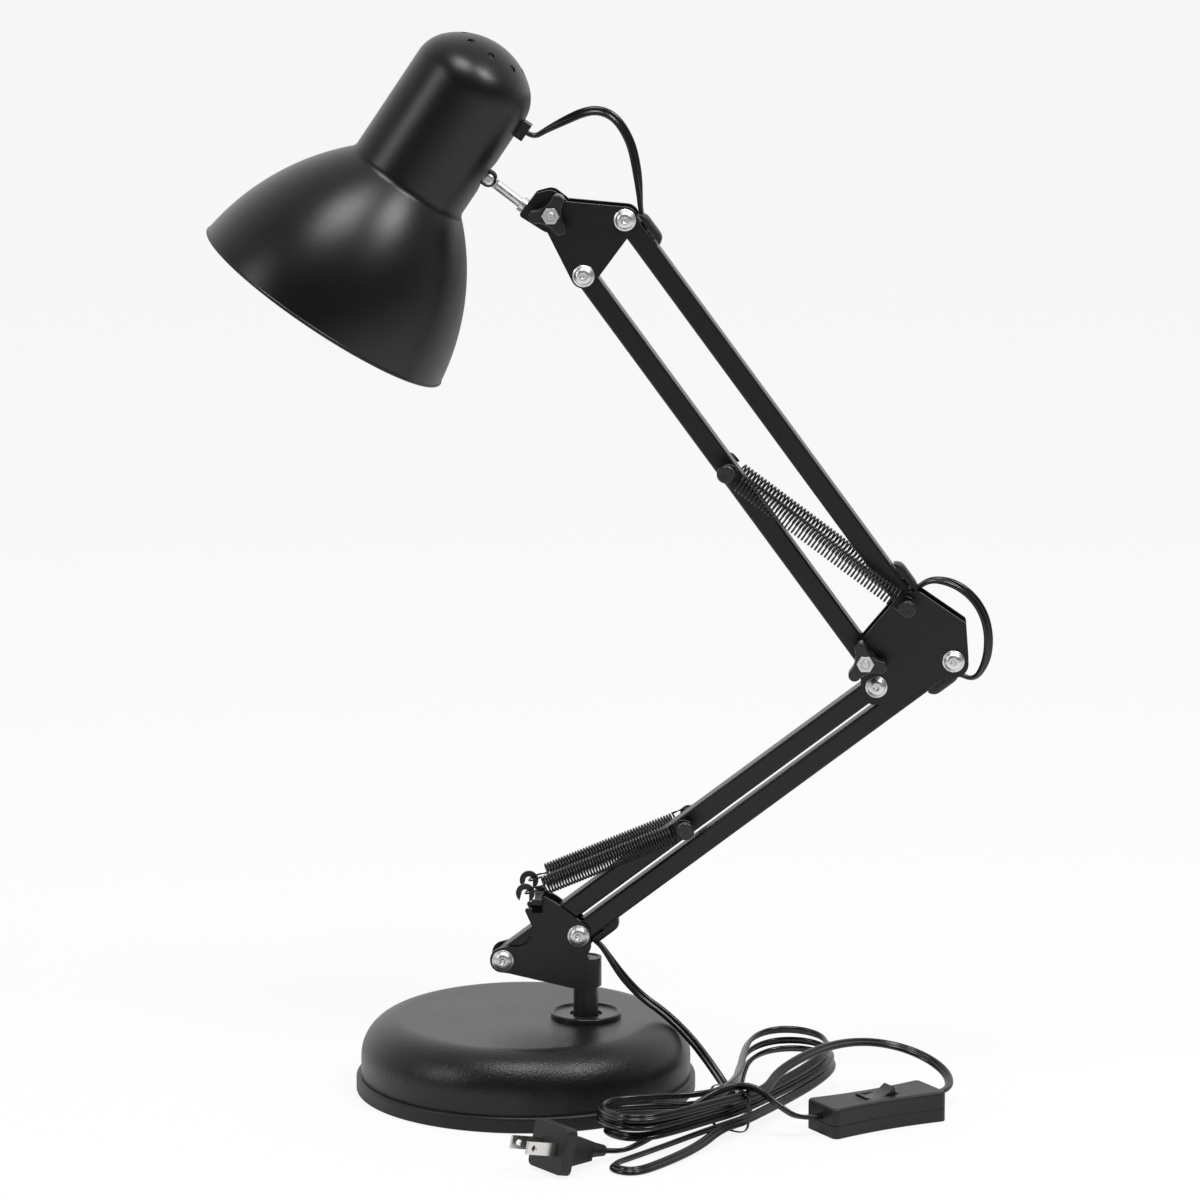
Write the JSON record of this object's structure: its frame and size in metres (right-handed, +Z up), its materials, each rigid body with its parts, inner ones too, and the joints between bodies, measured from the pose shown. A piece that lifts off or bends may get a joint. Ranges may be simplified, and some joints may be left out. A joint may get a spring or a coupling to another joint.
{
  "type": "desk lamp",
  "caption": "Black accordion desk lamp: weighted round base, swivel stem, sprung parallel bars with clamp knobs, bell shade on a tilting rod, tied mains cord with inline switch and plug.",
  "frame": {"origin": "centre of the round foot's underside, on the desk", "axes": "+Z up, +X towards the side the lower arm leans to, +Y away from the side with the knobs; the arms swing in the XZ plane"},
  "size_m": [0.3868, 0.252, 0.5307],
  "materials": {
    "powder_black": "satin powder coat with fine orange peel",
    "arm_black": "satin",
    "shade_black": "satin outside, white inside",
    "black_fastener": "semi-gloss black finish",
    "zinc": "bright zinc",
    "spring_steel": "blackened wire",
    "black_plastic": "fine texture",
    "cord_black": "soft gloss",
    "cast_weight": "rough",
    "foot_rubber": "matt felt-like",
    "contact_brass": "plain",
    "blade_nickel": "nickel plate"
  },
  "bodies": {
    "base": {"base_cover": "powder_black", "base_weight": "cast_weight", "base_pad": "foot_rubber", "foot_ring": "powder_black", "stem_socket": "black_fastener", "socket_nut": "zinc", "mains_drop": "cord_black", "cord_hank": "cord_black", "switch_lead": "cord_black", "plug_lead": "cord_black", "cord_tie": "cord_black", "switch_base": "black_plastic", "switch_cover": "black_plastic", "plug_body": "black_plastic", "plug_blades": "blade_nickel"},
    "swivel": {"stem": "black_fastener", "arm_bracket": "powder_black", "bracket_bolts": "zinc", "bracket_nuts": "zinc", "lower_front_spring": "spring_steel", "lower_rear_spring": "spring_steel"},
    "lower_rear_arm": {"lower_rear_bar": "arm_black", "lower_spring_pin": "black_fastener"},
    "lower_front_arm": {"lower_front_bar": "arm_black", "lower_bar_clips": "black_plastic", "lower_lead": "cord_black"},
    "elbow": {"elbow_front_plate": "arm_black", "elbow_rear_plate": "arm_black", "elbow_bolts": "zinc", "elbow_nuts": "zinc", "elbow_spring_pin": "black_fastener", "elbow_clamp_bolt": "zinc", "upper_front_spring": "spring_steel", "upper_rear_spring": "spring_steel", "elbow_loop": "cord_black"},
    "elbow_knob_group": {"elbow_knob": "black_plastic", "elbow_knob_nut": "zinc"},
    "upper_left_arm": {"upper_left_bar": "arm_black", "upper_spring_pin": "black_fastener"},
    "upper_right_arm": {"upper_right_bar": "arm_black", "upper_bar_clips": "black_plastic", "upper_lead": "cord_black"},
    "head_bracket": {"head_front_plate": "arm_black", "head_rear_plate": "arm_black", "head_bolts": "zinc", "head_nuts": "zinc", "head_clamp_bolt": "zinc", "head_loop": "cord_black"},
    "head_knob_group": {"head_knob": "black_plastic", "head_knob_nut": "zinc"},
    "yoke": {"head_yoke": "arm_black"},
    "rod": {"shade_rod": "zinc", "rod_nut": "zinc"},
    "shade_group": {"shade": "shade_black", "holder_strap": "arm_black", "knuckle_screw": "zinc", "lamp_holder": "black_plastic", "holder_thread": "contact_brass", "shade_grommet": "black_plastic"},
    "rocker": {"switch_rocker": "black_plastic"}
  },
  "joints": [
    {"name": "base_swivel", "type": "hinge", "parent": "base", "child": "swivel", "pos_m": [0.0303, 0, 0], "axis": [0, 0, 1], "range_deg": [-120, 120], "deforming": ["mains_drop"]},
    {"name": "lower_arm_tilt", "type": "hinge", "parent": "swivel", "child": "lower_front_arm", "pos_m": [0.02702, 0, 0.08052], "axis": [0, -1, 0], "range_deg": [-2, 70], "deforming": ["lower_front_spring", "lower_rear_spring"]},
    {"name": "lower_arm_follow", "type": "hinge", "parent": "swivel", "child": "lower_rear_arm", "pos_m": [-0.0108, 0, 0.0672], "axis": [0, -1, 0], "range_deg": [-2, 70]},
    {"name": "elbow_level", "type": "hinge", "parent": "lower_front_arm", "child": "elbow", "pos_m": [0.21227, 0, 0.22267], "axis": [0, -1, 0], "range_deg": [-70, 2], "deforming": ["elbow_loop"]},
    {"name": "upper_arm_tilt", "type": "hinge", "parent": "elbow", "child": "upper_right_arm", "pos_m": [0.18931, 0, 0.25062], "axis": [0, -1, 0], "range_deg": [-48, 70], "deforming": ["upper_front_spring", "upper_rear_spring"]},
    {"name": "upper_arm_follow", "type": "hinge", "parent": "elbow", "child": "upper_left_arm", "pos_m": [0.16905, 0, 0.22295], "axis": [0, -1, 0], "range_deg": [-48, 70]},
    {"name": "head_level", "type": "hinge", "parent": "upper_right_arm", "child": "head_bracket", "pos_m": [0.04995, 0, 0.44034], "axis": [0, -1, 0], "range_deg": [-70, 48]},
    {"name": "head_tilt", "type": "hinge", "parent": "head_bracket", "child": "yoke", "pos_m": [0.01429, 0, 0.44336], "axis": [0, -1, 0], "range_deg": [-40, 40], "deforming": ["head_loop"]},
    {"name": "rod_swivel", "type": "hinge", "parent": "yoke", "child": "rod", "pos_m": [0.01041, 0, 0.43828], "axis": [-0.7946, 0, 0.6071], "range_deg": [-60, 60]},
    {"name": "shade_tilt", "type": "hinge", "parent": "rod", "child": "shade_group", "pos_m": [-0.0171, 0, 0.4593], "axis": [0, -1, 0], "range_deg": [-30, 30]},
    {"name": "elbow_knob_turn", "type": "hinge", "parent": "elbow", "child": "elbow_knob_group", "pos_m": [0.16905, 0, 0.22295], "axis": [0, -1, 0], "continuous": true},
    {"name": "head_knob_turn", "type": "hinge", "parent": "head_bracket", "child": "head_knob_group", "pos_m": [0.01429, 0, 0.44336], "axis": [0, -1, 0], "continuous": true},
    {"name": "switch_rock", "type": "hinge", "parent": "base", "child": "rocker", "pos_m": [0.177, -0.058, 0.0112], "axis": [0.5592, -0.829, 0], "range_deg": [-20, 0]}
  ],
  "couplings": [
    {"joint": "lower_arm_follow", "follows": "lower_arm_tilt", "ratio": 1},
    {"joint": "elbow_level", "follows": "lower_arm_tilt", "ratio": -1},
    {"joint": "upper_arm_follow", "follows": "upper_arm_tilt", "ratio": 1},
    {"joint": "head_level", "follows": "upper_arm_tilt", "ratio": -1}
  ]
}
